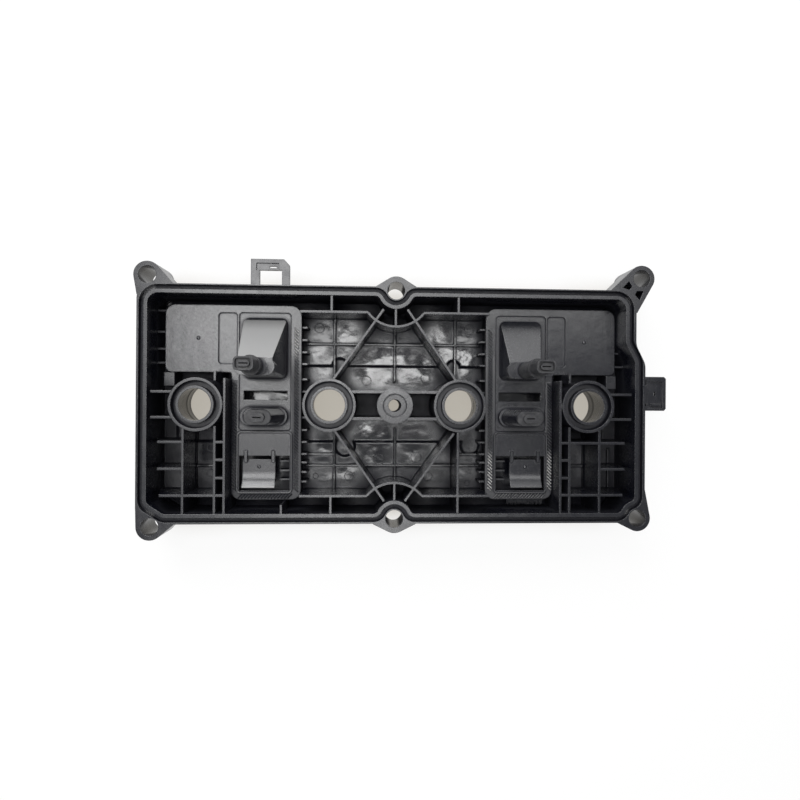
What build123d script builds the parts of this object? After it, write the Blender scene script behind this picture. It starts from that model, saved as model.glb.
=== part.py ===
from build123d import *
import math
import os

# Valve cover of a four-cylinder diesel engine, lying on its crown with the open side up.
# X runs along the engine, Y across it, and Z rises from the crown to the sealing rim.
# The origin is the centre bolt's axis at the crown's outer face.
# All dimensions are in millimetres.

# ---- driving dimensions of the cover moulding ----
INJECTOR_PITCH = 105.0
RIM_Z = 44.0
CROWN_SPINE = 2.0
ROOF = 3.0
WALL = 3.0
GROOVE_WIDTH = 3.6
GROOVE_DEPTH = 4.5
FLANGE_HEIGHT = 6.5
CROWN_BEVEL = 2.5
RIB = 1.9
FLOOR_Z = CROWN_SPINE + ROOF
RIB_ROOT_Z = 2.4
CENTRE_RIB_Z, BAY_RIB_Z = RIM_Z - 1.0, RIM_Z - 2.0
FLOOR_RIB_Z = FLOOR_Z + 2.6
PASS = 1.0  # how far a cutter runs past the face that it opens
BITE = 0.5  # how far one form is sunk into the next one

# inside of the tray at the rim
LEFT_X, RIGHT_X, RIGHT_UPPER_X = -194.8, 196.2, 188.4
TOP_Y, BOTTOM_Y = 87.6, -86.4
STEP_HIGH_Y, STEP_LOW_Y = 52.0, 37.0

# bolts through the rim: the four ears and the two long sides
EAR_BOLTS = {"rear_left": (-195.0, 101.8), "rear_right": (201.2, 105.0),
             "front_left": (-192.0, -96.4), "front_right": (198.5, -90.7)}
SIDE_BOLTS = [(0.5, 92.0), (0.0, -90.5)]
BOLT_BORE_R = 7.0
BOLT_BOSS_R = 11.4
EAR_R = 10.6
BOLT_BOSS_FOOT_Z = 14.0
EAR_FOOT_Z = 24.0
EAR_POCKET_FLOOR = 3.0
BOSS_CLEARANCE_R = 14.6
BOSS_BLEND_R = 4.0

# injector tubes: rim, seal groove, inner lip and crown-side pocket
TUBE_RIM_R = 21.3
TUBE_GROOVE_R, TUBE_GROOVE_DEPTH = 19.1, 6.0
LIP_OUTER_R, LIP_BORE_R, LIP_PROUD = 14.8, 12.7, 1.0
POCKET_R = 17.0
POCKET_TOP_Z = 36.0
CENTRE_BOSS_R, CENTRE_SEAT_R, CENTRE_BORE_R = 14.5, 9.5, 5.0
CENTRE_SEAT_DEPTH = 3.0

# oil separator chambers, mirrored about the YZ plane
PLATE_INNER_X, PLATE_WAIST_X, PLATE_OUTER_X = 77.0, 134.0, 187.6
PLATE_TOP_Y, PLATE_STEP_Y, PLATE_BOTTOM_Y = 81.8, 26.6, -78.4
PLATE_TOP_Z = 24.0
PLATE_THICK = 2.6
CHAMBER_WALL = 3.0
CHAMBER_INSET = 0.8
CHAMBER_CORNER = 4.0
CHAMBER_TOP_Z = PLATE_TOP_Z - PLATE_THICK
BAFFLE_TOP_Z = PLATE_TOP_Z - 9.0
RECESS_DEPTH = 0.9

# drain pipes on the separator plates
DRAIN_X, UPPER_DRAIN_Y, LOWER_DRAIN_Y = 107.3, 29.2, -9.7
VALVE_LENGTH = 24.0
PIPE_TOP_Z = {"left": 77.0, "right": 70.0}
HOOD_TOP_Z = {"left": 66.0, "right": 40.0}
LOWER_SOCKET_TOP_Z = 50.0


# ---- small helpers for plan shapes ----
def outline(points, radii=None):
    """Closed face through the points, with the named corners rounded."""
    face = make_face(Polyline(*points, close=True))
    for (x, y), radius in (radii or {}).items():
        corner = face.vertices().sort_by_distance((x, y, 0))[0]
        face = fillet(corner, radius)
    return face


def bar(x1, y1, x2, y2, width=RIB):
    """Plan of a straight rib from one point to another."""
    length = math.hypot(x2 - x1, y2 - y1)
    angle = math.degrees(math.atan2(y2 - y1, x2 - x1))
    return Pos((x1 + x2) / 2, (y1 + y2) / 2) * Rot(0, 0, angle) * Rectangle(length, width)


def raised(face, z_low, z_high, taper=0.0):
    """Prism of a plan face between two heights."""
    return extrude(Pos(0, 0, z_low) * face, z_high - z_low, taper=taper)


def hull(centre, radius, anchors):
    """Ear plan: a round end drawn out to points on the rim."""
    circle = Pos(*centre) * Circle(radius)
    link = Polyline(*anchors)
    return make_hull(circle.edges() + link.edges())


def stadium(x, y, width, height):
    return Pos(x, y) * SlotOverall(width, height)


def round_box(x, y, width, height, radius):
    return Pos(x, y) * RectangleRounded(width, height, radius)


def box_between(x1, y1, x2, y2):
    return Pos((x1 + x2) / 2, (y1 + y2) / 2) * Rectangle(abs(x2 - x1), abs(y2 - y1))


# ---- plan of the tray ----
def tray_interior():
    """Inside of the wall at the rim, drawn in round the side bolts and one ear bolt."""
    face = outline(
        [(LEFT_X, TOP_Y), (RIGHT_UPPER_X, TOP_Y), (RIGHT_UPPER_X, STEP_HIGH_Y), (RIGHT_X, STEP_LOW_Y),
         (RIGHT_X, BOTTOM_Y), (-181.5, BOTTOM_Y), (LEFT_X, -77.6)],
        {(LEFT_X, TOP_Y): 8.0, (RIGHT_UPPER_X, TOP_Y): 8.0, (RIGHT_UPPER_X, STEP_HIGH_Y): 12.0,
         (RIGHT_X, STEP_LOW_Y): 12.0, (-181.5, BOTTOM_Y): 5.0, (LEFT_X, -77.6): 5.0})
    for x, y in SIDE_BOLTS + [EAR_BOLTS["front_right"]]:
        face -= Pos(x, y) * Circle(BOSS_CLEARANCE_R)
        ends = face.vertices().sort_by_distance((x, y, 0))[:2]
        face = fillet(ends, BOSS_BLEND_R)
    return face


def ear_plan(name):
    anchors = {"rear_left": [(-203.0, 86.0), (-190.0, 84.0), (-175.0, 95.2)],
               "rear_right": [(175.5, 95.2), (185.0, 84.0), (197.6, 77.0)],
               "front_left": [(-203.0, -77.5), (-188.0, -80.0), (-173.0, -94.4)],
               "front_right": [(204.7, -67.0), (188.0, -78.0), (182.0, -94.4)]}[name]
    return hull(EAR_BOLTS[name], EAR_R, anchors)


SIDE_BOSS_EDGE_Y, SIDE_BOSS_ROOT_Y, SIDE_BOSS_REACH = 94.8, 88.8, 17.0


def flange_plan():
    """Outer edge of the rim, with its ears and side bosses."""
    face = outline(
        [(-203.0, 95.2), (197.0, 95.2), (197.0, 50.5), (204.7, 35.0), (204.7, -78.0),
         (188.0, -94.4), (-182.0, -94.4), (-203.0, -82.0)],
        {(-203.0, 95.2): 12.0, (197.0, 95.2): 14.0, (197.0, 50.5): 14.0, (204.7, 35.0): 14.0,
         (188.0, -94.4): 6.0, (-182.0, -94.4): 6.0})
    for name in EAR_BOLTS:
        face += ear_plan(name)
    for x, y in SIDE_BOLTS:
        side = math.copysign(1.0, y)
        edge, root = side * SIDE_BOSS_EDGE_Y, side * SIDE_BOSS_ROOT_Y
        anchors = [(x - SIDE_BOSS_REACH, edge), (x, root), (x + SIDE_BOSS_REACH, edge)]
        face += hull((x, y), BOLT_BOSS_R, anchors)
    return face


PLATE_CORNERS = [(PLATE_INNER_X, PLATE_TOP_Y), (PLATE_OUTER_X, PLATE_TOP_Y),
                 (PLATE_OUTER_X, PLATE_STEP_Y), (PLATE_WAIST_X, PLATE_STEP_Y),
                 (PLATE_WAIST_X, PLATE_BOTTOM_Y), (PLATE_INNER_X, PLATE_BOTTOM_Y)]
PLATE_CORNER_R = (9.0, 8.0, 5.0, 2.0, 8.0, 8.0)


def plate_plan(side):
    """L-shaped separator plate: wide behind the outer tube, narrow beside it."""
    corners = [(side * x, y) for x, y in PLATE_CORNERS]
    return outline(corners, dict(zip(corners, PLATE_CORNER_R)))


# ---- ribs of the tray, drawn in plan and grouped by height ----
LONG_RIB_Y = {1: 74.6, -1: -72.5}
ARC_R = 28.6
SIDE_RIB_X = 51.0


def long_rib_plan(side):
    """Rib along the tray that swings round the side bolt."""
    x_bolt, y_bolt = SIDE_BOLTS[0] if side > 0 else SIDE_BOLTS[1]
    y_rib = LONG_RIB_Y[side]
    reach = math.sqrt(ARC_R ** 2 - (y_bolt - y_rib) ** 2)
    ring = Pos(x_bolt, y_bolt) * (Circle(ARC_R + RIB / 2) - Circle(ARC_R - RIB / 2))
    arc = ring & box_between(x_bolt - ARC_R, y_rib, x_bolt + ARC_R, y_rib - side * ARC_R)
    left = bar(-PLATE_INNER_X + PASS, y_rib, x_bolt - reach + BITE, y_rib)
    right = bar(x_bolt + reach - BITE, y_rib, PLATE_INNER_X - PASS, y_rib)
    return arc + left + right


SPINE_RIB_Y, SPINE_RIB = (-10.6, 10.9), 2.4
DIAGONAL_RIBS = [(-9.4, 77.2, -49.2, 21.0), (9.8, 77.2, 49.0, 20.6),
                 (-47.6, -21.0, -8.2, -76.6), (47.8, -22.0, 8.4, -76.6)]


def centre_rib_plan():
    """Ribs of the middle bay that reach almost to the rim."""
    plan = long_rib_plan(1) + long_rib_plan(-1)
    for ends in DIAGONAL_RIBS:
        plan += bar(*ends)
    for x in (-SIDE_RIB_X, SIDE_RIB_X):
        plan += bar(x, LONG_RIB_Y[1], x, TOP_Y + PASS)
        plan += bar(x, LONG_RIB_Y[-1], x, BOTTOM_Y - PASS)
    plan += bar(0.3, 63.4, 0.3, 78.5) + bar(0, -61.9, 0, -77.0)
    plan += bar(SIDE_RIB_X, -21.0, SIDE_RIB_X, LONG_RIB_Y[-1])
    plan += bar(-90.1, PLATE_BOTTOM_Y - PASS, -90.1, BOTTOM_Y - PASS)
    for y in SPINE_RIB_Y:
        plan += bar(-INJECTOR_PITCH / 2, y, INJECTOR_PITCH / 2, y, SPINE_RIB)
    return plan


BAY_RIB_X = (135.3, 142.8, 167.6)
WAIST_RIB_Y = (-29.8, -43.9, -58.3)
END_RIB_Y = -72.2
OUTER_RIB_GAP = {10.0: 2.0, -10.3: 2.0, -29.8: 7.6, -51.0: 7.6, END_RIB_Y: 9.2}
OUTER_RIB_END_Z = 12.0


def bay_rib_plan():
    """Ribs round the two outer tubes, mirrored about the YZ plane."""
    plan = Sketch()
    for s in (-1, 1):
        inner, middle, outer = (s * x for x in BAY_RIB_X)
        plan += bar(inner, 21.0, inner, BOTTOM_Y - PASS)
        plan += bar(middle, -17.0, middle, BOTTOM_Y - PASS)
        plan += bar(middle, 19.0, middle, PLATE_STEP_Y)
        plan += bar(outer, -19.0, outer, BOTTOM_Y - PASS)
        plan += bar(inner, END_RIB_Y, outer, END_RIB_Y)
        for y in WAIST_RIB_Y:
            plan += bar(inner, y, middle, y)
    return plan + bar(middle, WAIST_RIB_Y[0], outer, WAIST_RIB_Y[0])


def outer_ribs():
    """Ribs from the last cross rib of each bay, slanted off just before the end wall."""
    ribs = []
    for wall_x in (LEFT_X, RIGHT_X):
        side = math.copysign(1.0, wall_x)
        start, end = side * BAY_RIB_X[-1], wall_x + side * BITE
        for y, gap in OUTER_RIB_GAP.items():
            corners = [(start, RIB_ROOT_Z), (end, RIB_ROOT_Z), (end, OUTER_RIB_END_Z),
                       (wall_x - side * gap, BAY_RIB_Z), (start, BAY_RIB_Z)]
            face = make_face(Polyline(*[(x, y - RIB / 2, z) for x, z in corners], close=True))
            ribs.append(extrude(face, RIB, dir=(0, 1, 0)))
    return ribs


BAY_FLOOR_RIB_Y = -52.4
RIGHT_FLOOR_RIB_X = 189.6


def floor_rib_plan():
    """Low ribs that stiffen the roof between the chambers."""
    plan = Sketch()
    for x in (-50.8, 1.0, 53.4):
        plan += bar(x, LONG_RIB_Y[1], x, 20.0)
    for x in (-50.6, 1.6):
        plan += bar(x, -20.0, x, LONG_RIB_Y[-1])
    reach = PLATE_INNER_X - 2 * PASS
    for y in (52.3, -52.1):
        plan += bar(-reach, y, reach, y)
    for s in (-1, 1):
        plan += bar(s * reach, -42.4, s * SIDE_RIB_X, -42.4)
        inner, middle, outer = (s * x for x in BAY_RIB_X)
        plan += bar(middle, BAY_FLOOR_RIB_Y, outer, BAY_FLOOR_RIB_Y)
    return plan + bar(RIGHT_FLOOR_RIB_X, -37.0, RIGHT_FLOOR_RIB_X, END_RIB_Y)


GUSSET = 1.6
GUSSET_Y = (76.0, 64.4, 54.0, 43.8, 34.0, 21.2, 11.0, -10.6, -21.0, -31.0, -41.0, -48.0,
            -56.0, -64.0, -75.0)
WAIST_GUSSET_Y = (11.0, -10.4, -31.0, -47.5, -55.5, -63.0, -74.5)
END_GUSSET_Y = (77.0, 59.5, 45.5, 34.0)


def gusset_plan():
    """Short ribs that stand against the chamber walls like a comb."""
    plan = Sketch()
    for s in (-1, 1):
        for y in GUSSET_Y:
            plan += bar(s * (PLATE_INNER_X - 4.6), y, s * (PLATE_INNER_X + 2), y, GUSSET)
        for y in WAIST_GUSSET_Y:
            plan += bar(s * (PLATE_WAIST_X - 2), y, s * (PLATE_WAIST_X + 3.6), y, GUSSET)
        for y in END_GUSSET_Y:
            plan += bar(s * (PLATE_OUTER_X - 2), y, s * (PLATE_OUTER_X + 9), y, GUSSET)
    return plan


END_BLOCK = (180.6, 15.0, 189.0, 26.0)
END_BLOCK_TOP_Z = PLATE_TOP_Z - 0.6
BAFFLE_Y = (-47.5, -55.5, -63.0)
BAFFLE_LENGTH = 17.0


def chamber_wall_plan(side):
    """Wall below a separator plate, following the plate's edge."""
    corners = [(side * x, y) for x, y in PLATE_CORNERS]
    outer = offset(outline(corners), -CHAMBER_INSET)
    convex = outer.vertices().sort_by_distance((side * PLATE_WAIST_X, PLATE_STEP_Y, 0))[1:]
    return chamfer(convex, CHAMBER_CORNER) - offset(outline(corners), -CHAMBER_INSET - CHAMBER_WALL)


def chamber_baffle_plan():
    """Impact ribs inside the separator chambers, seen through the plates' windows."""
    plan = Sketch()
    for s in (-1, 1):
        start = PLATE_INNER_X + CHAMBER_INSET + PASS
        for y in BAFFLE_Y:
            plan += bar(s * start, y, s * (start + BAFFLE_LENGTH), y, GUSSET)
    return plan


# ---- round features of the cover ----
def tube(x):
    """Injector tube with its annular seal groove and inner lip."""
    web_z = RIM_Z - TUBE_GROOVE_DEPTH
    profile = [(POCKET_R, RIB_ROOT_Z), (TUBE_RIM_R, RIB_ROOT_Z), (TUBE_RIM_R, RIM_Z),
               (TUBE_GROOVE_R, RIM_Z), (TUBE_GROOVE_R, web_z), (LIP_OUTER_R, web_z),
               (LIP_OUTER_R, RIM_Z + LIP_PROUD), (LIP_BORE_R, RIM_Z + LIP_PROUD),
               (LIP_BORE_R, POCKET_TOP_Z), (POCKET_R, POCKET_TOP_Z)]
    section = make_face(Polyline(*[(r, 0, z) for r, z in profile], close=True))
    return Pos(x, 0, 0) * revolve(section, Axis.Z)


TUBES_X = [(i - 1.5) * INJECTOR_PITCH for i in range(4)]
SPINE_PAD = (-186.0, -31.5, 186.0, 33.5)
SPINE_PAD_CORNER = 12.0
SPINE_END_WALL, SPINE_SIDE_WALL = 3.0, 1.0
SPINE_SLOPE = -50.0
SPINE_LOBES = [(-46.3, 33.6, 5.4), (52.3, 33.2, 4.8), (-41.6, -35.6, 7.4), (67.2, -34.9, 6.8)]


TAB_LOW_Z, TAB_TOP_Z = RIM_Z - 5.5, RIM_Z - 1.5
TAB_POCKET_DEPTH = 1.4
TAB_BAR = (210.6, 1.0, 218.4, 2.8)


def harness_tabs():
    """The two slotted clip tabs that stand out from the rim."""
    low, high = TAB_LOW_Z, TAB_TOP_Z
    pocket_z = high - TAB_POCKET_DEPTH
    rear = outline([(-115.0, 90.0), (-115.0, 115.8), (-89.0, 115.8), (-84.5, 111.0), (-84.5, 90.0)])
    rear -= box_between(-108.2, 95.2, -90.5, 107.2)
    side = outline([(200.0, 24.9), (221.0, 24.9), (222.6, 23.3), (222.6, -1.3), (221.0, -2.9),
                    (200.0, -2.9)])
    tabs = raised(rear, low, high) + raised(side, low, high)
    tabs -= raised(box_between(-110.6, 107.0, -93.0, 112.6), pocket_z, high + PASS)
    tabs -= raised(box_between(-100.4, 109.0, -95.0, 110.4), low - PASS, high)
    tabs -= raised(box_between(207.5, -0.6, 219.8, 21.0), pocket_z, high + PASS)
    tabs -= raised(box_between(213.2, 9.5, 214.6, 12.5), low - PASS, high)
    tabs -= raised(box_between(204.9, 18.0, 206.4, 22.0), low - PASS, high + PASS)
    tabs -= raised(box_between(204.9, 0.6, 206.4, 3.0), low - PASS, high + PASS)
    return tabs + raised(box_between(*TAB_BAR), pocket_z - BITE, high)


def ear_pockets():
    """The two cored pockets of the long rear-right ear."""
    first = outline([(190.6, 102.7), (193.4, 98.2), (190.8, 95.6), (185.6, 97.4)])
    second = outline([(197.2, 94.8), (202.8, 94.8), (199.6, 87.4), (195.6, 91.6)])
    return raised(first + second, EAR_FOOT_Z + EAR_POCKET_FLOOR, RIM_Z + PASS)


def tray():
    """Crown, skirt and grooved rim, with the ears, side bosses and clip tabs."""
    interior = tray_interior()
    skirt = offset(interior, WALL)
    groove = offset(interior, WALL + GROOVE_WIDTH) - skirt
    body = raised(skirt, CROWN_SPINE, RIM_Z)
    body = chamfer(body.edges().group_by(Axis.Z)[0], CROWN_BEVEL)
    body += raised(flange_plan(), RIM_Z - FLANGE_HEIGHT, RIM_Z)
    for name, (x, y) in EAR_BOLTS.items():
        body += raised(ear_plan(name), EAR_FOOT_Z, RIM_Z)
        body += raised(Pos(x, y) * Circle(EAR_R), BOLT_BOSS_FOOT_Z, RIM_Z)
    for x, y in SIDE_BOLTS:
        body += raised(Pos(x, y) * Circle(BOLT_BOSS_R), BOLT_BOSS_FOOT_Z, RIM_Z)
    body += harness_tabs()
    body -= raised(interior, FLOOR_Z, RIM_Z + PASS)
    return body - raised(groove, RIM_Z - GROOVE_DEPTH, RIM_Z + PASS)


def spine():
    """Raised pad along the crown and the channel above it, as (added, removed)."""
    x_left, y_low, x_right, y_high = SPINE_PAD
    pad = chamfer(box_between(*SPINE_PAD).vertices(), SPINE_PAD_CORNER)
    sink = box_between(x_left + SPINE_END_WALL, y_low + SPINE_SIDE_WALL,
                       x_right - SPINE_END_WALL, y_high - SPINE_SIDE_WALL)
    for x, y, radius in SPINE_LOBES:
        pad += Pos(x, y) * Circle(radius + SPINE_SIDE_WALL)
        sink += Pos(x, y) * Circle(radius)
    return raised(pad, 0, CROWN_SPINE + BITE), raised(sink, ROOF, FLOOR_Z + BITE, SPINE_SLOPE)


def inner_ribs():
    """Everything that stands on the roof inside the tray."""
    edge = offset(tray_interior(), BITE)
    groups = [(centre_rib_plan() & edge, CENTRE_RIB_Z), (bay_rib_plan() & edge, BAY_RIB_Z),
              (floor_rib_plan() & edge, FLOOR_RIB_Z), (gusset_plan() & edge, CHAMBER_TOP_Z),
              (chamber_baffle_plan(), BAFFLE_TOP_Z), (Circle(CENTRE_BOSS_R), RIM_Z)]
    for side in (-1, 1):
        x1, y1, x2, y2 = END_BLOCK
        groups.append((chamber_wall_plan(side), CHAMBER_TOP_Z))
        groups.append((box_between(side * x1, y1, side * x2, y2), END_BLOCK_TOP_Z))
    solids = [raised(plan, RIB_ROOT_Z, top_z) for plan, top_z in groups]
    return solids + outer_ribs() + [tube(x) for x in TUBES_X]


def cover():
    """The whole cover moulding, with its bores cut last."""
    pad, sink = spine()
    body = (tray() + pad - sink) + inner_ribs()
    for x in TUBES_X:
        ring = Circle(TUBE_GROOVE_R) - Circle(LIP_OUTER_R)
        body -= raised(Pos(x, 0) * ring, RIM_Z - TUBE_GROOVE_DEPTH, RIM_Z + PASS)
        body -= raised(Pos(x, 0) * Circle(LIP_BORE_R), POCKET_TOP_Z - PASS, RIM_Z + LIP_PROUD + PASS)
        body -= raised(Pos(x, 0) * Circle(POCKET_R), -PASS, POCKET_TOP_Z)
    body -= raised(Circle(CENTRE_SEAT_R), RIM_Z - CENTRE_SEAT_DEPTH, RIM_Z + PASS)
    body -= raised(Circle(CENTRE_BORE_R), -PASS, RIM_Z + PASS)
    for x, y in list(EAR_BOLTS.values()) + SIDE_BOLTS:
        body -= raised(Pos(x, y) * Circle(BOLT_BORE_R), BOLT_BOSS_FOOT_Z - PASS, RIM_Z + PASS)
    return body - ear_pockets()


# ---- separator plates ----
HOOD_BASE_WIDTH, HOOD_CREST_WIDTH = 35.6, 26.4
HOOD_END = (31.0, 13.6)
HOOD_BACK_Y, HOOD_CREST_Y, HOOD_FRONT_Y = 71.4, 35.8, 21.6
HOOD_X = 106.4
HOOD_CORNER_R = 5.0
HOOD_WALL = 2.2
HOOD_HALF_SPAN = 30.0
PIPE_R, PIPE_BORE_R = 5.2, 3.8
DRAIN_PLUG = (12.0, 6.0)


def hood_shape(side, top_z, inset):
    """Ramped hood over the clean-side drain, drawn in by the inset for its cavity."""
    low_z = PLATE_TOP_Z - (PLATE_THICK + BITE if inset else RECESS_DEPTH + BITE)
    rise = top_z - PLATE_TOP_Z
    taper = math.degrees(math.atan2((HOOD_BASE_WIDTH - HOOD_CREST_WIDTH) / 2, rise))
    width, depth = HOOD_BASE_WIDTH - 2 * inset, HOOD_BACK_Y - HOOD_FRONT_Y - 2 * inset
    middle_y = (HOOD_BACK_Y + HOOD_FRONT_Y) / 2
    base = Pos(side * HOOD_X, middle_y) * Rectangle(width, depth)
    if inset == 0.0:
        base = fillet(base.vertices(), HOOD_CORNER_R)
    body = raised(base, low_z, top_z - inset, taper)
    drop = inset * math.hypot(1.0, rise / (HOOD_BACK_Y - HOOD_CREST_Y))
    back_y, front_y = HOOD_BACK_Y + PASS, HOOD_FRONT_Y - PASS
    profile = [(back_y, low_z - PASS), (back_y, PLATE_TOP_Z - drop), (HOOD_BACK_Y, PLATE_TOP_Z - drop),
               (HOOD_CREST_Y, top_z - drop), (front_y, top_z - drop), (front_y, low_z - PASS)]
    ramp = make_face(Polyline(*[(0, y, z) for y, z in profile], close=True))
    left = side * DRAIN_X - HOOD_HALF_SPAN
    return body & Pos(left, 0, 0) * extrude(ramp, 2 * HOOD_HALF_SPAN, dir=(1, 0, 0))


def drain_pipe(side, name):
    """Round pipe that stands on the hood's end and carries the rubber sleeve."""
    pipe = Pos(side * DRAIN_X, UPPER_DRAIN_Y) * Circle(PIPE_R)
    return raised(pipe, HOOD_TOP_Z[name] - BITE, PIPE_TOP_Z[name])


SOCKET_PAD = (38.4, 14.8)
SOCKET_PAD_HEIGHT = 3.4
SOCKET_R = 6.4
SOCKET_FOOT_X, SOCKET_CROWN_X = (95.0, 118.6), (103.3, 111.3)


def lower_socket(side):
    """Oval socket of the lower drain, whose round ends lean in towards its top."""
    foot_z = PLATE_TOP_Z - RECESS_DEPTH
    rise = LOWER_SOCKET_TOP_Z - foot_z
    corners = [(x, foot_z) for x in SOCKET_FOOT_X] + [(x, LOWER_SOCKET_TOP_Z) for x in SOCKET_CROWN_X[::-1]]
    front = Polyline(*[(side * x, LOWER_DRAIN_Y - SOCKET_R, z) for x, z in corners], close=True)
    socket = extrude(make_face(front), 2 * SOCKET_R, dir=(0, 1, 0))
    for foot_x, crown_x in zip(SOCKET_FOOT_X, SOCKET_CROWN_X):
        lean = side * (crown_x - foot_x)
        end = Pos(side * foot_x, LOWER_DRAIN_Y, foot_z) * Circle(SOCKET_R)
        socket += extrude(end, math.hypot(lean, rise), dir=(lean, 0, rise))
    return socket


VALVE_WINDOW = (86.2, -71.0, 127.4, -42.2)
FLAP_X = (98.0, 124.8)
FLAP_Y = (-45.2, -68.2)
FLAP_RISE = 4.6
FLAP_THICK = 1.8
FLAP_SAG = 1.0
FLAP_BEND = 0.45
FLAP_ARM_X = (99.6, 122.0)
FLAP_ARM_Y = (-38.0, -47.5)
FLAP_ARM = 2.6


def pressure_flap(side):
    """Flap in the plate's window, on two arms and curling up at its free end."""
    start, end = FLAP_Y
    bend = start + (end - start) * FLAP_BEND
    edges = []
    for z in (PLATE_TOP_Z - FLAP_SAG, PLATE_TOP_Z - FLAP_SAG - FLAP_THICK):
        middle = (0, (bend + end) / 2, z + FLAP_RISE / 4)
        curl = ThreePointArc((0, bend, z), middle, (0, end, z + FLAP_RISE))
        edges += [Line((0, start, z), (0, bend, z)), curl]
    root = Line(edges[0] @ 0, edges[2] @ 0)
    lip = Line(edges[1] @ 1, edges[3] @ 1)
    section = make_face(edges + [root, lip])
    left = min(side * x for x in FLAP_X)
    flap = Pos(left, 0, 0) * extrude(section, FLAP_X[1] - FLAP_X[0], dir=(1, 0, 0))
    for x in FLAP_ARM_X:
        arm = box_between(side * x - FLAP_ARM / 2, FLAP_ARM_Y[0], side * x + FLAP_ARM / 2, FLAP_ARM_Y[1])
        flap += raised(arm, PLATE_TOP_Z - FLAP_SAG - FLAP_THICK, PLATE_TOP_Z + RECESS_DEPTH)
    return flap


WELD_EDGE = 1.8  # chamfer at the corners of the plate's recesses
FRAME_TOP_Z = PLATE_TOP_Z + 0.9
GAS_SLOT = (88.5, 4.0, 124.3, 11.4)
GAS_SHIELD = (88.5, 11.0, 124.3, 13.0)
GAS_SHIELD_DROP = 7.0


def mirrored_box(side, x1, y1, x2, y2):
    """Rectangle given for the right plate, moved over to this side."""
    return box_between(side * x1, y1, side * x2, y2)


def separator_plate(name):
    """L-shaped plate with its recess, frame, window, flap, hood, pipe and socket."""
    side = -1 if name == "left" else 1
    low, top = PLATE_TOP_Z - PLATE_THICK, PLATE_TOP_Z
    floor_z = top - RECESS_DEPTH
    plate = raised(plate_plan(side), low, top)
    recess = chamfer(mirrored_box(side, 85.5, -21.6, 128.1, 76.0).vertices(), WELD_EDGE)
    pocket = chamfer(mirrored_box(side, 129.4, 33.1, 145.0, 75.7).vertices(), WELD_EDGE)
    plate -= raised(recess + pocket, floor_z, top + PASS)
    frame = round_box(side * 106.85, -47.7, 45.5, 51.4, 3.4)
    frame -= chamfer(mirrored_box(side, 85.2, -72.1, 128.4, -23.2).vertices(), WELD_EDGE)
    plate += raised(frame, low, FRAME_TOP_Z)
    plate += hood_shape(side, HOOD_TOP_Z[name], 0.0)
    hood_end = stadium(side * DRAIN_X, UPPER_DRAIN_Y, *HOOD_END)
    plate += raised(hood_end, floor_z - BITE, HOOD_TOP_Z[name])
    socket_pad = stadium(side * DRAIN_X, LOWER_DRAIN_Y, *SOCKET_PAD)
    plate += raised(socket_pad, floor_z - BITE, top + SOCKET_PAD_HEIGHT)
    plate += lower_socket(side)
    plate += drain_pipe(side, name)
    plate -= hood_shape(side, HOOD_TOP_Z[name], HOOD_WALL)
    bore = Pos(side * DRAIN_X, UPPER_DRAIN_Y) * Circle(PIPE_BORE_R)
    plate -= raised(bore, top, PIPE_TOP_Z[name] + PASS)
    drain = Pos(side * DRAIN_X, LOWER_DRAIN_Y) * Rectangle(*DRAIN_PLUG)
    plate -= raised(drain, low - PASS, LOWER_SOCKET_TOP_Z + PASS)
    plate -= raised(mirrored_box(side, *GAS_SLOT), low - PASS, top + PASS)
    plate -= raised(mirrored_box(side, *VALVE_WINDOW), low - PASS, top + PASS / 10)
    plate += raised(mirrored_box(side, *GAS_SHIELD), low - GAS_SHIELD_DROP, low + BITE)
    return plate + pressure_flap(side)


# ---- rubber drain valves ----
SLEEVE_R, NECK_R = 6.8, 5.4
COLLAR_R, COLLAR_HEIGHT = 7.6, 2.6
VALVE_TIP = (14.0, 9.8)
VALVE_TIP_R = 3.2
TIP_LENGTH = 16.0
MOUTH_RECESS, MOUTH_RECESS_R, MOUTH_DEPTH = (11.4, 7.2), 2.2, 2.4
VALVE_MOUTH = (8.6, 4.8)
BILL_CAVITY = (9.0, 5.6)
BILL_WALL = 5.0
SLIT = (6.3, 0.8)
LOWER_CAP, LOWER_CAP_HEIGHT = (20.6, 11.6), 2.2
LOWER_MOUTH, LOWER_MOUTH_HEIGHT = (11.4, 7.2), 5.0
PLUG_LENGTH = 8.0
PLUG_BORE = (9.0, 3.2)


def upper_valve(name):
    """Duckbill valve pulled over the hood's pipe."""
    side = -1 if name == "left" else 1
    foot, pipe_end = HOOD_TOP_Z[name], PIPE_TOP_Z[name]
    tip = pipe_end + VALVE_LENGTH
    valve = raised(Circle(SLEEVE_R), foot, pipe_end)
    valve += raised(Circle(COLLAR_R), pipe_end, pipe_end + COLLAR_HEIGHT)
    valve += raised(Circle(NECK_R), pipe_end, tip - TIP_LENGTH)
    bill = raised(round_box(0, 0, *VALVE_TIP, VALVE_TIP_R), tip - TIP_LENGTH, tip)
    bill -= raised(round_box(0, 0, *MOUTH_RECESS, MOUTH_RECESS_R), tip - MOUTH_DEPTH, tip + PASS)
    valve += bill + raised(SlotOverall(*VALVE_MOUTH), tip - MOUTH_DEPTH - BITE, tip)
    valve -= raised(Circle(PIPE_R), foot - PASS, pipe_end)
    valve -= raised(Rectangle(*BILL_CAVITY), pipe_end - PASS, tip - BILL_WALL)
    valve -= raised(Rectangle(*SLIT), tip - BILL_WALL - PASS, tip + PASS)
    return Pos(side * DRAIN_X, UPPER_DRAIN_Y, 0) * valve


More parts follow.
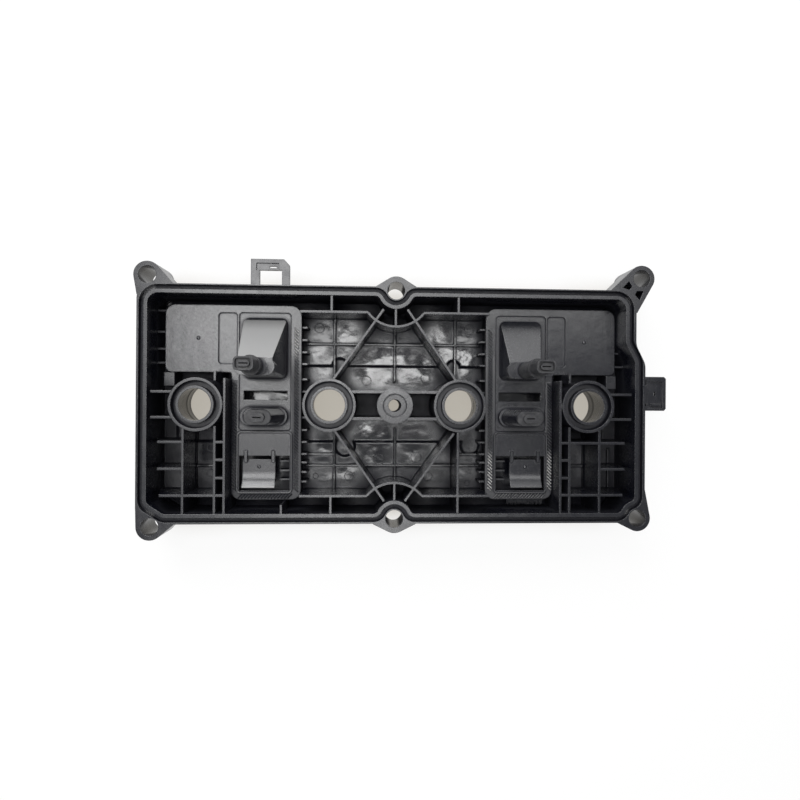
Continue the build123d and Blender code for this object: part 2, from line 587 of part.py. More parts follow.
def lower_valve(name):
    """Short slit valve plugged into the lower drain socket."""
    side = -1 if name == "left" else 1
    base = LOWER_SOCKET_TOP_Z
    valve = raised(SlotOverall(*LOWER_CAP), base, base + LOWER_CAP_HEIGHT)
    valve += raised(SlotOverall(*LOWER_MOUTH), base + LOWER_CAP_HEIGHT - BITE, base + LOWER_MOUTH_HEIGHT)
    valve += raised(Rectangle(*DRAIN_PLUG), base - PLUG_LENGTH, base + BITE)
    valve -= raised(Rectangle(*PLUG_BORE), base - PLUG_LENGTH - PASS, base + BITE)
    valve -= raised(Rectangle(*SLIT), base, base + LOWER_MOUTH_HEIGHT + PASS)
    return Pos(side * DRAIN_X, LOWER_DRAIN_Y, 0) * valve


os.makedirs("parts", exist_ok=True)
export_step(cover(), "parts/cover.step")
for name in ("left", "right"):
    export_step(separator_plate(name), "parts/separator_plate_" + name + ".step")
    export_step(upper_valve(name), "parts/drain_valve_upper_" + name + ".step")
    export_step(lower_valve(name), "parts/drain_valve_lower_" + name + ".step")
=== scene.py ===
import math

import bmesh
import bpy
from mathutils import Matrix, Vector, noise


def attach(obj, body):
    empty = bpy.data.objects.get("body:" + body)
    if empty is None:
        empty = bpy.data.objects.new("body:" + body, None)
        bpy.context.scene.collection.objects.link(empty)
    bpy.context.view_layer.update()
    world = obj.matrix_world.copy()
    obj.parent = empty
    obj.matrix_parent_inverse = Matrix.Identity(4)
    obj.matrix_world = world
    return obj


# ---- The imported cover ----
# One moulded cover with its two separator plates and four rubber valves.
# It lies on its crown with the open side up, and nothing on it moves.
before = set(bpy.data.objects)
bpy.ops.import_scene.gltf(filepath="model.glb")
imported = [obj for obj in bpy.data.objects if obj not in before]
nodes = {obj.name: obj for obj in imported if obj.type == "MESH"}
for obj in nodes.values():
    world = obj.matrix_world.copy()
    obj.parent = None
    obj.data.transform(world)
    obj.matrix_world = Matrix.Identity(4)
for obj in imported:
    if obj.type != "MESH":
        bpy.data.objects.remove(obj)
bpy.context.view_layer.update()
MM = 0.001


# ---- The cover moulding ----
# The real piece is one injection moulding of black nylon filled with glass fibre.
# Its polished roof shows sink and flow marks between the ribs, and the rest is satin.
# Deep between the ribs the surface is duller, and its colour and reflection are darkened there as
# painted shade.
NYLON_BLACK = (0.0036, 0.0040, 0.0078, 1.0)
NYLON_WORN = (0.0075, 0.0078, 0.0105, 1.0)
NYLON_PAINTED_SHADE = (0.0020, 0.0023, 0.0055, 1.0)
PAINTED_SHADE_SHINE = (0.27, 0.27, 0.30, 1.0)
OPEN_SHINE = (1.0, 1.0, 1.0, 1.0)
GLASSY_ROUGHNESS, SATIN_ROUGHNESS, DEEP_ROUGHNESS = (0.09, 0.19), (0.21, 0.32), 0.8
NYLON_SHINE = 1.0
ROOF_GLOSS_TOP, ROOF_GLOSS_END = 9 * MM, 13 * MM
EDGE_ROUNDING, ROOF_ROUNDING = 0.6 * MM, 1.5 * MM
RECESS_REACH = 20 * MM
RECESS_DARK, RECESS_OPEN = 0.25, 0.62
CHANNEL_Y, RIM_BACK_Y, BAND_FADE = 74 * MM, 95.5 * MM, 1.5 * MM
ROOF_RECESS = 0.75
CORNER_X, CORNER_Y, CORNER_FADE = 189 * MM, 83 * MM, 2 * MM
TUBE_PITCH = 105 * MM
GROOVE_FLOOR_Z, GROOVE_FLOOR_FADE = 36.5 * MM, 1.0 * MM
GROOVE_EDGE, GROOVE_EDGE_FADE, GROOVE_RECESS = 17.4 * MM, 1.2 * MM, 0.5
PATCH_SCALE, SATIN_SCALE, WAVE_SCALE, FLOW_SCALE, GRAIN_SCALE = 45.0, 140.0, 32.0, 120.0, 2200.0
WAVE_HEIGHT, FLOW_HEIGHT, GRAIN_HEIGHT = 2.6 * MM, 0.22 * MM, 0.004 * MM


def start_material(name):
    """A new node material, with its tree and its shader."""
    material = bpy.data.materials.new(name)
    material.use_nodes = True
    tree = material.node_tree
    return material, tree, tree.nodes["Principled BSDF"]


def add_node(tree, kind, **values):
    """Adds one node and sets its properties and unlinked inputs."""
    node = tree.nodes.new(kind)
    for name, value in values.items():
        if name in node.inputs:
            node.inputs[name].default_value = value
        else:
            setattr(node, name, value)
    return node


def add_noise(tree, place, scale, detail=4.0, roughness=0.55):
    cloud = add_node(tree, "ShaderNodeTexNoise", Scale=scale, Detail=detail, Roughness=roughness)
    tree.links.new(place, cloud.inputs["Vector"])
    return cloud.outputs["Fac"]


def split_place(tree, place):
    """The three coordinates of a place, each as its own value."""
    split = add_node(tree, "ShaderNodeSeparateXYZ")
    tree.links.new(place, split.inputs["Vector"])
    return [split.outputs[axis] for axis in "XYZ"]


def spread(tree, value, low, high, to_low, to_high):
    """Maps a value from one range to another, held at the ends."""
    ramp = add_node(tree, "ShaderNodeMapRange")
    names = ("From Min", "From Max", "To Min", "To Max")
    for name, number in zip(names, (low, high, to_low, to_high)):
        ramp.inputs[name].default_value = number
    tree.links.new(value, ramp.inputs["Value"])
    return ramp.outputs["Result"]


def blend_colours(tree, share, first, second):
    mix = add_node(tree, "ShaderNodeMix", data_type="RGBA")
    mix.inputs["B"].default_value = second
    if isinstance(first, tuple):
        mix.inputs["A"].default_value = first
    else:
        tree.links.new(first, mix.inputs["A"])
    tree.links.new(share, mix.inputs["Factor"])
    return mix.outputs["Result"]


def blend_values(tree, share, first, second):
    mix = add_node(tree, "ShaderNodeMix", data_type="FLOAT")
    tree.links.new(share, mix.inputs["Factor"])
    tree.links.new(first, mix.inputs["A"])
    if isinstance(second, float):
        mix.inputs["B"].default_value = second
    else:
        tree.links.new(second, mix.inputs["B"])
    return mix.outputs["Result"]


def find_recesses(tree, reach, dark, open_air):
    """One in the grooves and narrow gaps, falling to nothing on open faces."""
    shade = add_node(tree, "ShaderNodeAmbientOcclusion", samples=16, Distance=reach)
    return spread(tree, shade.outputs["AO"], dark, open_air, 1.0, 0.0)


def combine(tree, operation, *values):
    """One step of arithmetic on one or two values, linked or plain."""
    step = add_node(tree, "ShaderNodeMath", operation=operation)
    for value, socket in zip(values, step.inputs):
        if isinstance(value, float):
            socket.default_value = value
        else:
            tree.links.new(value, socket)
    return step.outputs["Value"]


def multiply(tree, first, second):
    return combine(tree, "MULTIPLY", first, second)


def find_tube_grooves(tree, x, y, z):
    """Falls below one on the wide flat floor of the groove in each tube's end face."""
    off_centre = combine(tree, "ABSOLUTE", x)
    folded = combine(tree, "ABSOLUTE", combine(tree, "SUBTRACT", off_centre, TUBE_PITCH))
    across = combine(tree, "SUBTRACT", folded, TUBE_PITCH / 2)
    squares = combine(tree, "ADD", multiply(tree, across, across), multiply(tree, y, y))
    radius = combine(tree, "SQRT", squares)
    near = spread(tree, radius, GROOVE_EDGE, GROOVE_EDGE + GROOVE_EDGE_FADE, 1.0, 0.0)
    high = spread(tree, z, GROOVE_FLOOR_Z, GROOVE_FLOOR_Z + GROOVE_FLOOR_FADE, 0.0, 1.0)
    return spread(tree, multiply(tree, near, high), 0.0, 1.0, 1.0, GROOVE_RECESS)


def find_cover_recesses(tree, x, y, z, roof):
    """The recesses of the cover, less those on its ears, on its outside and in its tube ends."""
    off_centre, off_middle = combine(tree, "ABSOLUTE", x), combine(tree, "ABSOLUTE", y)
    within = spread(tree, off_middle, RIM_BACK_Y, RIM_BACK_Y + BAND_FADE, 1.0, 0.0)
    inner = spread(tree, off_middle, CHANNEL_Y, CHANNEL_Y + BAND_FADE, 1.0, 0.0)
    polished = spread(tree, multiply(tree, roof, inner), 0.0, 1.0, 1.0, ROOF_RECESS)
    corner = multiply(tree, spread(tree, off_centre, CORNER_X, CORNER_X + CORNER_FADE, 0.0, 1.0),
                      spread(tree, off_middle, CORNER_Y, CORNER_Y + CORNER_FADE, 0.0, 1.0))
    off_ears = spread(tree, corner, 0.0, 1.0, 1.0, 0.0)
    recess = find_recesses(tree, RECESS_REACH, RECESS_DARK, RECESS_OPEN)
    for mask in (within, polished, off_ears, find_tube_grooves(tree, x, y, z)):
        recess = multiply(tree, recess, mask)
    return recess


def add_bump(tree, height, distance, below):
    """One layer of relief, laid over the normal that comes from below."""
    bump = add_node(tree, "ShaderNodeBump", Distance=distance, Strength=1.0)
    tree.links.new(height, bump.inputs["Height"])
    tree.links.new(below, bump.inputs["Normal"])
    return bump.outputs["Normal"]


def make_nylon_cover():
    material, tree, shader = start_material("nylon_cover_moulded")
    shader.inputs["Specular IOR Level"].default_value = NYLON_SHINE
    place = add_node(tree, "ShaderNodeTexCoord").outputs["Object"]
    x, y, z = split_place(tree, place)
    roof = spread(tree, z, ROOF_GLOSS_TOP, ROOF_GLOSS_END, 1.0, 0.0)
    recess = find_cover_recesses(tree, x, y, z, roof)
    patches = add_noise(tree, place, PATCH_SCALE)
    worn = spread(tree, patches, 0.45, 0.75, 0.0, 1.0)
    colour = blend_colours(tree, worn, NYLON_BLACK, NYLON_WORN)
    # Painted shade: the colour and the reflection are darkened in the recesses.
    tree.links.new(blend_colours(tree, recess, colour, NYLON_PAINTED_SHADE), shader.inputs["Base Color"])
    shine = blend_colours(tree, recess, OPEN_SHINE, PAINTED_SHADE_SHINE)
    tree.links.new(shine, shader.inputs["Specular Tint"])

    satin = spread(tree, add_noise(tree, place, SATIN_SCALE), 0.3, 0.7, *SATIN_ROUGHNESS)
    glassy = spread(tree, patches, 0.3, 0.7, *GLASSY_ROUGHNESS)
    finish = blend_values(tree, roof, satin, glassy)
    tree.links.new(blend_values(tree, recess, finish, DEEP_ROUGHNESS), shader.inputs["Roughness"])

    rounding = add_node(tree, "ShaderNodeBevel", samples=6)
    radius = spread(tree, roof, 0.0, 1.0, EDGE_ROUNDING, ROOF_ROUNDING)
    tree.links.new(radius, rounding.inputs["Radius"])
    waves = multiply(tree, add_noise(tree, place, WAVE_SCALE, detail=1.0, roughness=0.4), roof)
    relief = add_bump(tree, waves, WAVE_HEIGHT, rounding.outputs["Normal"])
    flow = multiply(tree, add_noise(tree, place, FLOW_SCALE, detail=2.0, roughness=0.4), roof)
    relief = add_bump(tree, flow, FLOW_HEIGHT, relief)
    relief = add_bump(tree, add_noise(tree, place, GRAIN_SCALE, detail=1.0), GRAIN_HEIGHT, relief)
    tree.links.new(relief, shader.inputs["Normal"])
    return material


nylon_cover = make_nylon_cover()


def finish_node(name, material):
    """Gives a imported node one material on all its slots."""
    slots = nodes[name].data.materials
    slots.clear()
    slots.append(material)


finish_node("cover", nylon_cover)


# ---- Ejector marks on the roof ----
# The pins that push the moulding out of its tool leave faint raised rings on the roof.
# They are part of the same nylon moulding and stand under a third of a millimetre proud.
FLOOR_TOP = 5 * MM
MARK_HEIGHT = 0.3 * MM
MARK_RIM = 0.45 * MM
MARKS = [(-23.2, 21.2, 4.2), (65.8, 66.3, 4.4), (28.1, 23.8, 4.2), (-12.1, -47.1, 4.6),
         (-38.0, -61.6, 4.0), (64.8, -67.4, 2.4), (30.6, -61.6, 4.0), (-64.0, 66.0, 4.2),
         (-66.5, -61.6, 2.4), (20.0, -45.0, 4.6), (153.0, -37.0, 3.6), (-155.5, -37.0, 3.6),
         (153.0, -59.0, 3.6), (-155.5, -59.0, 3.6)]
MARK_SIDES = 40


def add_ring_of_points(mesh, x, y, z, radius, sides):
    turns = [2 * math.pi * i / sides for i in range(sides)]
    return [mesh.verts.new((x + radius * math.cos(a), y + radius * math.sin(a), z)) for a in turns]


def bridge(mesh, lower, upper):
    for i in range(len(lower)):
        j = (i + 1) % len(lower)
        mesh.faces.new((lower[i], lower[j], upper[j], upper[i]))


def finish_piece(name, mesh, material):
    """Turns the built mesh into a piece that rides on the cover."""
    bmesh.ops.recalc_face_normals(mesh, faces=mesh.faces)
    data = bpy.data.meshes.new(name)
    mesh.to_mesh(data)
    mesh.free()
    data.materials.append(material)
    piece = bpy.data.objects.new(name, data)
    bpy.context.scene.collection.objects.link(piece)
    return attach(piece, "root")


marks = bmesh.new()
for x, y, radius in MARKS:
    low, high = FLOOR_TOP - MARK_HEIGHT, FLOOR_TOP + MARK_HEIGHT
    x, y, radius = x * MM, y * MM, radius * MM
    inside = radius - MARK_RIM
    rings = [add_ring_of_points(marks, x, y, z, r, MARK_SIDES)
             for r, z in ((radius, low), (radius, high), (inside, high), (inside, low))]
    for lower, upper in zip(rings, rings[1:] + rings[:1]):
        bridge(marks, lower, upper)
finish_piece("roof_ejector_marks", marks, nylon_cover)


# ---- The separator plates ----
# Each plate is a moulding of the same nylon, with a fine eroded grain all over.
# It is welded down onto the chamber walls, so nothing holds it but its edge.
# The ramped back of each hood, where it leans towards the back, is painted grey as a sheen, the left
# one fully and the right one a little.
PLATE_BLACK = (0.006, 0.0063, 0.0105, 1.0)
PLATE_PALE = (0.014, 0.0145, 0.018, 1.0)
PLATE_ROUNDING = 0.9 * MM
PLATE_REACH, PLATE_DARK, PLATE_OPEN = 4 * MM, 0.5, 0.92
HOOD_MATTE_START, HOOD_MATTE_END = 25.5 * MM, 27 * MM
HOOD_LEAN = (0.2, 0.35)
HOOD_PAINTED_SHEEN = (0.24, 0.24, 0.24, 1.0)
HOOD_RIGHT_SHARE = 0.12
HOOD_ROUGHNESS = 0.5
BAND_ROUGHNESS = 0.62
BAND_FIELD = (84.9 * MM, 129.1 * MM)
BAND_FRONT_Y, BAND_WAIST_Y, BAND_BACK_Y = -72.6 * MM, 20 * MM, 44 * MM
BAND_EDGE = 0.5 * MM
PLATE_ROUGHNESS = (0.19, 0.27)
SAG_SCALE, ERODED_SCALE, BAND_SCALE = 90.0, 1000.0, 1600.0
SAG_HEIGHT, ERODED_HEIGHT, BAND_HEIGHT = 0.16 * MM, 0.030 * MM, 0.10 * MM


def find_band(tree, place):
    """Finds the knurled border of the plate and the back of its hood, where a sheen is painted."""
    x, y, z = split_place(tree, place)
    off_centre = combine(tree, "ABSOLUTE", x)
    inner = spread(tree, off_centre, BAND_FIELD[0] - BAND_EDGE, BAND_FIELD[0] + BAND_EDGE, 1.0, 0.0)
    inner = multiply(tree, inner, spread(tree, y, BAND_WAIST_Y, BAND_BACK_Y, 1.0, 0.0))
    waist = spread(tree, off_centre, BAND_FIELD[1] - BAND_EDGE, BAND_FIELD[1] + BAND_EDGE, 0.0, 1.0)
    waist = multiply(tree, waist, spread(tree, y, BAND_WAIST_Y, BAND_WAIST_Y + BAND_EDGE, 1.0, 0.0))
    front = spread(tree, y, BAND_FRONT_Y - BAND_EDGE, BAND_FRONT_Y + BAND_EDGE, 1.0, 0.0)
    band = combine(tree, "MAXIMUM", combine(tree, "MAXIMUM", inner, waist), front)
    face = add_node(tree, "ShaderNodeNewGeometry").outputs["True Normal"]
    lean = split_place(tree, face)[1]
    hood = spread(tree, z, HOOD_MATTE_START, HOOD_MATTE_END, 0.0, 1.0)
    hood = multiply(tree, hood, spread(tree, lean, *HOOD_LEAN, 0.0, 1.0))
    return band, multiply(tree, hood, spread(tree, x, -MM, MM, 1.0, HOOD_RIGHT_SHARE))


def make_nylon_plate():
    material, tree, shader = start_material("nylon_plate_grained")
    shader.inputs["Specular IOR Level"].default_value = NYLON_SHINE
    place = add_node(tree, "ShaderNodeTexCoord").outputs["Object"]
    band, hood = find_band(tree, place)
    recess = find_recesses(tree, PLATE_REACH, PLATE_DARK, PLATE_OPEN)
    patches = spread(tree, add_noise(tree, place, 60.0), 0.35, 0.7, 0.0, 1.0)
    colour = blend_colours(tree, patches, PLATE_BLACK, PLATE_PALE)
    # Painted sheen: the back of the hood that leans towards the back is made grey.
    colour = blend_colours(tree, hood, colour, HOOD_PAINTED_SHEEN)
    # Painted shade: the colour and the reflection are darkened in the recesses.
    tree.links.new(blend_colours(tree, recess, colour, NYLON_PAINTED_SHADE), shader.inputs["Base Color"])
    shine = blend_colours(tree, recess, OPEN_SHINE, PAINTED_SHADE_SHINE)
    tree.links.new(shine, shader.inputs["Specular Tint"])
    grained = spread(tree, add_noise(tree, place, 500.0), 0.3, 0.7, *PLATE_ROUGHNESS)
    finish = blend_values(tree, hood, grained, HOOD_ROUGHNESS)
    finish = blend_values(tree, band, finish, BAND_ROUGHNESS)
    tree.links.new(blend_values(tree, recess, finish, DEEP_ROUGHNESS), shader.inputs["Roughness"])
    rounded = add_node(tree, "ShaderNodeBevel", samples=4, Radius=PLATE_ROUNDING).outputs["Normal"]
    relief = add_bump(tree, add_noise(tree, place, SAG_SCALE, detail=2.0), SAG_HEIGHT, rounded)
    relief = add_bump(tree, add_noise(tree, place, ERODED_SCALE, detail=2.0), ERODED_HEIGHT, relief)
    rough_band = multiply(tree, add_noise(tree, place, BAND_SCALE, detail=1.0), band)
    relief = add_bump(tree, rough_band, BAND_HEIGHT, relief)
    tree.links.new(relief, shader.inputs["Normal"])
    return material


nylon_plate = make_nylon_plate()
SIDES = {"left": -1, "right": 1}
for name in SIDES:
    finish_node("separator_plate_" + name, nylon_plate)


# ---- Knurled weld band ----
# The welding tool grips each plate by its border and presses a row of slanting teeth
# into the nylon along the waist, the front end and the inner edge.
TOOTH_PITCH, TOOTH_HEIGHT, TOOTH_SUNK = 2.7 * MM, 0.8 * MM, 0.08 * MM
TOOTH_LENGTH, TOOTH_HALF_WIDTH = 5.4 * MM, 0.62 * MM
TOOTH_SLANT, CREST_SHARE = math.radians(45), 0.86
PLATE_TOP = 24 * MM
KNURL_BLACK = (0.010, 0.0105, 0.014, 1.0)
KNURL_PAINTED_GLINT = (0.55, 0.545, 0.53, 1.0)
KNURL_ROUGHNESS = (0.22, 0.4)
CREST_START, CREST_END = 24.05 * MM, 24.25 * MM
GLINT_LEAST, GLINT_TURN = 0.10, 0.0005
GLINT_NEAR, GLINT_FAR = (36 * MM, 44 * MM), (68 * MM, 73 * MM)
BAND_RUNS = [((81.0, 62.0), (81.0, -71.0)),
             ((86.0, -75.6), (127.0, -75.6)),
             ((131.6, -69.0), (131.6, 20.0))]


def make_nylon_knurl():
    """Pale crests as painted glints, most at the back of the left plate and the front of the right."""
    material, tree, shader = start_material("nylon_knurl_pressed")
    shader.inputs["Specular IOR Level"].default_value = NYLON_SHINE
    place = add_node(tree, "ShaderNodeTexCoord").outputs["Object"]
    x, y, z = split_place(tree, place)
    off_middle = combine(tree, "ABSOLUTE", y)
    # Painted glints: the crests are made pale in patches.
    glints = spread(tree, add_noise(tree, place, 650.0), 0.34, 0.50, 0.0, 1.0)
    for mask in (spread(tree, z, CREST_START, CREST_END, 0.0, 1.0),
                 spread(tree, multiply(tree, x, y), -GLINT_TURN, 0.0, 1.0, GLINT_LEAST),
                 spread(tree, off_middle, *GLINT_NEAR, GLINT_LEAST, 1.0),
                 spread(tree, off_middle, *GLINT_FAR, 1.0, GLINT_LEAST * 2)):
        glints = multiply(tree, glints, mask)
    tree.links.new(blend_colours(tree, glints, KNURL_BLACK, KNURL_PAINTED_GLINT), shader.inputs["Base Color"])
    rough = spread(tree, add_noise(tree, place, 700.0), 0.3, 0.7, *KNURL_ROUGHNESS)
    tree.links.new(rough, shader.inputs["Roughness"])
    relief = add_node(tree, "ShaderNodeNewGeometry").outputs["Normal"]
    relief = add_bump(tree, add_noise(tree, place, 1400.0, detail=1.0), 0.03 * MM, relief)
    tree.links.new(relief, shader.inputs["Normal"])
    return material


nylon_knurl = make_nylon_knurl()


def add_tooth(mesh, centre, along):
    """A slanting ridge with a sharp crest, pressed up out of the plate."""
    turn, lean = math.cos(TOOTH_SLANT), math.sin(TOOTH_SLANT)
    slant = Vector((turn * along.x - lean * along.y, lean * along.x + turn * along.y, 0.0))
    across = Vector((-slant.y, slant.x, 0.0))
    half, low, high = TOOTH_LENGTH / 2, -TOOTH_SUNK, TOOTH_HEIGHT
    base, top = centre + Vector((0, 0, low)), centre + Vector((0, 0, high))
    feet = [mesh.verts.new(base + slant * s * half + across * t * TOOTH_HALF_WIDTH)
            for s, t in ((-1, -1), (1, -1), (1, 1), (-1, 1))]
    crest = [mesh.verts.new(top + slant * s * half * CREST_SHARE) for s in (-1, 1)]
    mesh.faces.new(feet[::-1])
    mesh.faces.new((feet[0], feet[1], crest[1], crest[0]))
    mesh.faces.new((feet[2], feet[3], crest[0], crest[1]))
    mesh.faces.new((feet[1], feet[2], crest[1]))
    mesh.faces.new((feet[3], feet[0], crest[0]))


for name, side in SIDES.items():
    knurl = bmesh.new()
    for start, end in BAND_RUNS:
        first = Vector((side * start[0], start[1], 0.0)) * MM
        last = Vector((side * end[0], end[1], 0.0)) * MM
        along = (last - first).normalized()
        count = int((last - first).length / TOOTH_PITCH)
        for i in range(count + 1):
            centre = first + along * TOOTH_PITCH * i
            centre.z = PLATE_TOP
            add_tooth(knurl, centre, along)
    finish_piece("weld_knurl_" + name, knurl, nylon_knurl)


# ---- Weld flash ----
# Melted nylon was squeezed out below the front edge of the right plate as it was welded.
# It set there as a thin ragged shelf on the outside of the chamber wall.
FLASH_X, FLASH_BACK_Y, FLASH_Z = (96.5 * MM, 127.5 * MM), -77.8 * MM, 19.5 * MM
FLASH_REACH, FLASH_RAGGED = 6.0 * MM, 1.6 * MM
FLASH_THICK, FLASH_CURL = 0.5 * MM, 1.3 * MM
FLASH_COLUMNS, FLASH_ROWS = 72, 8
RAGGED_STEP, WRINKLE_STEPS = 0.31, (0.45, 0.7)


def flash_point(column, row):
    """One point on the top of the shelf, wrinkled and drooping towards its edge."""
    across, out = column / (FLASH_COLUMNS - 1), row / (FLASH_ROWS - 1)
    x = FLASH_X[0] + (FLASH_X[1] - FLASH_X[0]) * across
    ragged = noise.noise(Vector((column * RAGGED_STEP, 4.0, 0.0))) * FLASH_RAGGED
    y = FLASH_BACK_Y - (FLASH_REACH + ragged) * out
    fold = Vector((column * WRINKLE_STEPS[0], row * WRINKLE_STEPS[1], 9.0))
    wrinkle = noise.noise(fold) * FLASH_CURL
    return Vector((x, y, FLASH_Z + wrinkle * out - FLASH_CURL * out * out))


flash = bmesh.new()
sheets = []
for drop in (0.0, FLASH_THICK):
    sheets.append([[flash.verts.new(flash_point(i, j) - Vector((0, 0, drop)))
                    for j in range(FLASH_ROWS)] for i in range(FLASH_COLUMNS)])
for sheet in sheets:
    for near, far in zip(sheet, sheet[1:]):
        for j in range(FLASH_ROWS - 1):
            flash.faces.new((near[j], far[j], far[j + 1], near[j + 1]))
rims = []
for top in sheets:
    back, edge = [column[0] for column in top], [column[-1] for column in top[-2::-1]]
    rims.append(back + top[-1][1:] + edge + top[0][-2:0:-1])
bridge(flash, rims[0], rims[1])
finish_piece("weld_flash_right", flash, nylon_plate)


# ---- Gate pips ----
# Each plate was filled through one pin gate and its flap through another.
# The gates leave small domes that were never trimmed off.
PIP_RADIUS, PIP_HEIGHT = 1.5 * MM, 1.0 * MM
PIP_PLACES = [(161.2, 54.4, 24.0), (111.3, -51.4, 23.0)]
PIP_LEVELS, PIP_SIDES = 5, 24

for name, side in SIDES.items():
    pips = bmesh.new()
    for x, y, z in PIP_PLACES:
        x, y, z = side * x * MM, y * MM, z * MM
        rings = [add_ring_of_points(pips, x, y, z - PIP_HEIGHT / 2, PIP_RADIUS, PIP_SIDES)]
        for level in range(PIP_LEVELS):
            lift = math.radians(90 * level / PIP_LEVELS)
            height, radius = PIP_HEIGHT * math.sin(lift), PIP_RADIUS * math.cos(lift)
            rings.append(add_ring_of_points(pips, x, y, z + height, radius, PIP_SIDES))
        for lower, upper in zip(rings, rings[1:]):
            bridge(pips, lower, upper)
        pips.faces.new(rings[0][::-1])
        pips.faces.new(rings[-1])
    finish_piece("gate_pips_" + name, pips, nylon_plate)


# ---- The drain valves ----
# The four duckbill valves are black rubber, moulded in one piece and pulled on by hand.
# Oil runs out through their slits and gas can't come back up.
RUBBER_BLACK = (0.016, 0.016, 0.019, 1.0)
RUBBER_DUSTY = (0.045, 0.045, 0.047, 1.0)
RUBBER_ROUGHNESS, RUBBER_ROUNDING, RUBBER_GRAIN = (0.34, 0.5), 0.6 * MM, 0.04 * MM


def make_valve_rubber():
    material, tree, shader = start_material("valve_rubber_matte")
    place = add_node(tree, "ShaderNodeTexCoord").outputs["Object"]
    dust = spread(tree, add_noise(tree, place, 320.0), 0.45, 0.7, 0.0, 1.0)
    tree.links.new(blend_colours(tree, dust, RUBBER_BLACK, RUBBER_DUSTY), shader.inputs["Base Color"])
    rough = spread(tree, add_noise(tree, place, 900.0), 0.3, 0.7, *RUBBER_ROUGHNESS)
    tree.links.new(rough, shader.inputs["Roughness"])
    rounded = add_node(tree, "ShaderNodeBevel", samples=4, Radius=RUBBER_ROUNDING).outputs["Normal"]
    relief = add_bump(tree, add_noise(tree, place, 1300.0), RUBBER_GRAIN, rounded)
    tree.links.new(relief, shader.inputs["Normal"])
    return material


valve_rubber = make_valve_rubber()
for name in SIDES:
    finish_node("drain_valve_upper_" + name, valve_rubber)
    finish_node("drain_valve_lower_" + name, valve_rubber)


# ---- Table and light ----
# The cover lies on a plain white table in a white room. Soft boxes hang over the left end,
# the back and the front, two narrow strips over the middle, and two panels stand behind.
TABLE_HALF = 3.0
TABLE_WHITE = (0.86, 0.86, 0.85, 1.0)
TABLE_GLOW = 0.86
TABLE_SHADE, TABLE_OPEN = (1.0, 0.93, 0.80, 1.0), (1.0, 1.0, 1.0, 1.0)
CONTACT_REACH, CONTACT_OPEN, CONTACT_DARK = 50 * MM, 0.7, 0.45
WALL_END, CEILING_START = 0.3, 0.9
WALL_LIGHT, CEILING_LIGHT = 0.6, 0.22
ROOM_WHITE = (0.97, 0.985, 1.0, 1.0)
LAMP_HEIGHT = 1.5


def make_table_white():
    material, tree, shader = start_material("table_white")
    shader.inputs["Base Color"].default_value = TABLE_WHITE
    shader.inputs["Roughness"].default_value = 0.9
    # Painted shadow: the glow seen by the camera and in reflections is darkened and warmed near and
    # under the cover.
    glow = add_node(tree, "ShaderNodeEmission")
    shade = add_node(tree, "ShaderNodeAmbientOcclusion", Distance=CONTACT_REACH)
    openness = shade.outputs["AO"]
    strength = spread(tree, openness, 0.0, CONTACT_OPEN, CONTACT_DARK, 1.0)
    tree.links.new(strength, glow.inputs["Strength"])
    open_table = spread(tree, openness, 0.0, CONTACT_OPEN, 0.0, 1.0)
    tree.links.new(blend_colours(tree, open_table, TABLE_SHADE, TABLE_OPEN), glow.inputs["Color"])
    paths = add_node(tree, "ShaderNodeLightPath")
    seen = paths.outputs["Is Camera Ray"]
    for kind in ("Is Glossy Ray", "Is Transmission Ray"):
        seen = combine(tree, "MAXIMUM", seen, paths.outputs[kind])
    both = add_node(tree, "ShaderNodeMixShader")
    tree.links.new(combine(tree, "MULTIPLY", seen, TABLE_GLOW), both.inputs["Fac"])
    tree.links.new(shader.outputs["BSDF"], both.inputs[1])
    tree.links.new(glow.outputs["Emission"], both.inputs[2])
    tree.links.new(both.outputs["Shader"], tree.nodes["Material Output"].inputs["Surface"])
    return material


table_mesh = bmesh.new()
corners = [(-1, -1), (1, -1), (1, 1), (-1, 1)]
table_mesh.faces.new([table_mesh.verts.new((x * TABLE_HALF, y * TABLE_HALF, 0.0)) for x, y in corners])
table_data = bpy.data.meshes.new("table")
table_mesh.to_mesh(table_data)
table_mesh.free()
table_data.materials.append(make_table_white())
table = bpy.data.objects.new("table", table_data)
bpy.context.scene.collection.objects.link(table)

world = bpy.data.worlds.new("white_room")
bpy.context.scene.world = world
world.use_nodes = True
room = world.node_tree
room.nodes["Background"].inputs["Color"].default_value = ROOM_WHITE
heading = split_place(room, add_node(room, "ShaderNodeTexCoord").outputs["Generated"])
strength = spread(room, heading[2], WALL_END, CEILING_START, WALL_LIGHT, CEILING_LIGHT)
room.links.new(strength, room.nodes["Background"].inputs["Strength"])


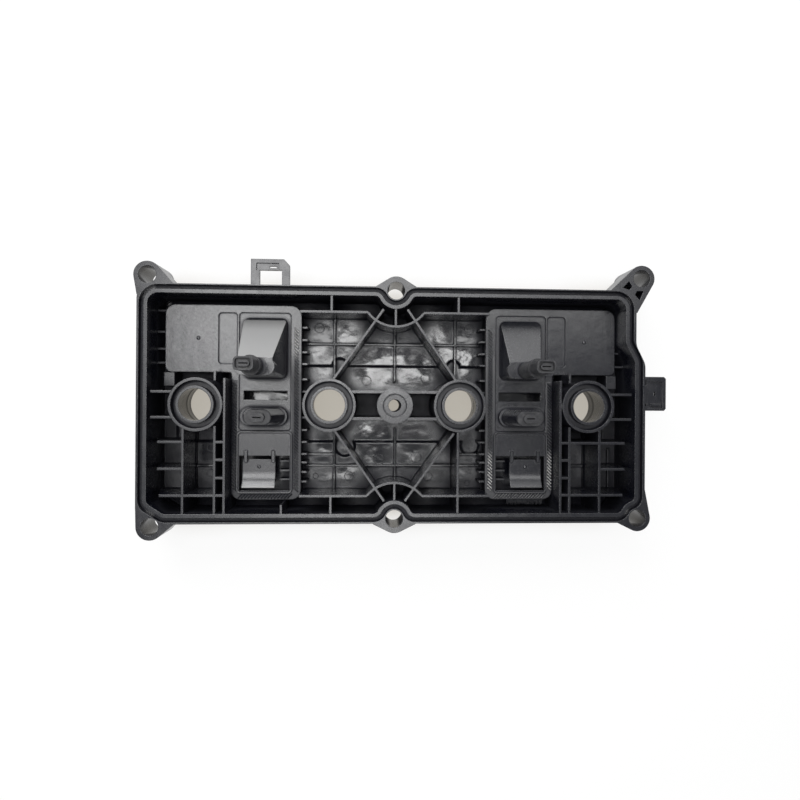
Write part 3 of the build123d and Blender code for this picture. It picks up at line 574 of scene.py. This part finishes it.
def hang_light(name, place, aim, width, depth, watts):
    lamp = bpy.data.lights.new(name, "AREA")
    lamp.shape, lamp.size, lamp.size_y, lamp.energy = "RECTANGLE", width, depth, watts
    holder = bpy.data.objects.new(name, lamp)
    holder.location = place
    holder.rotation_mode = "QUATERNION"
    holder.rotation_quaternion = (Vector(aim) - Vector(place)).to_track_quat("-Z", "Y")
    holder.visible_camera = False
    bpy.context.scene.collection.objects.link(holder)


hang_light("left_box_back", (-0.50, 0.27, LAMP_HEIGHT), (-0.50, 0.27, 0.0), 0.44, 0.40, 2.8)
hang_light("left_box_front", (-0.50, -0.14, LAMP_HEIGHT), (-0.50, -0.14, 0.0), 0.44, 0.42, 0.7)
hang_light("middle_strip_back", (-0.03, 0.08, LAMP_HEIGHT), (-0.03, 0.08, 0.0), 0.56, 0.14, 2.0)
hang_light("middle_strip_front", (-0.03, -0.36, LAMP_HEIGHT), (-0.03, -0.36, 0.0), 0.60, 0.13, 1.4)
hang_light("back_box", (-0.10, 0.50, LAMP_HEIGHT), (-0.10, 0.50, 0.0), 1.00, 0.34, 4.6)
hang_light("right_box", (0.65, 0.48, LAMP_HEIGHT), (0.65, 0.48, 0.0), 0.45, 0.40, 1.2)
hang_light("front_box", (-0.15, -0.78, LAMP_HEIGHT), (-0.15, -0.78, 0.0), 0.9, 0.60, 6.0)
hang_light("back_left_panel", (-0.45, 1.15, 0.85), (-0.10, 0.0, 0.05), 1.1, 1.1, 18.0)
hang_light("back_right_panel", (0.75, 1.15, 0.85), (0.10, 0.0, 0.05), 1.1, 1.1, 3.0)


# ---- Camera ----
# It stands over the middle of the cover and looks almost straight down,
# leaning under three degrees towards the right-hand end.
EYE = (-17.5 * MM, 4.0 * MM, 491.5 * MM)
LENS, SENSOR = 25.2, 36.0
TURNS = (0.07, -2.75, 0.39)

eye = bpy.data.objects.new("camera", bpy.data.cameras.new("camera"))
eye.data.lens, eye.data.sensor_width = LENS, SENSOR
eye.data.clip_start, eye.data.clip_end = 0.01, 20.0
eye.location = EYE
eye.rotation_mode = "ZYX"
eye.rotation_euler = [math.radians(turn) for turn in TURNS]
bpy.context.scene.collection.objects.link(eye)
bpy.context.scene.camera = eye
bpy.context.scene.view_settings.view_transform = "Standard"
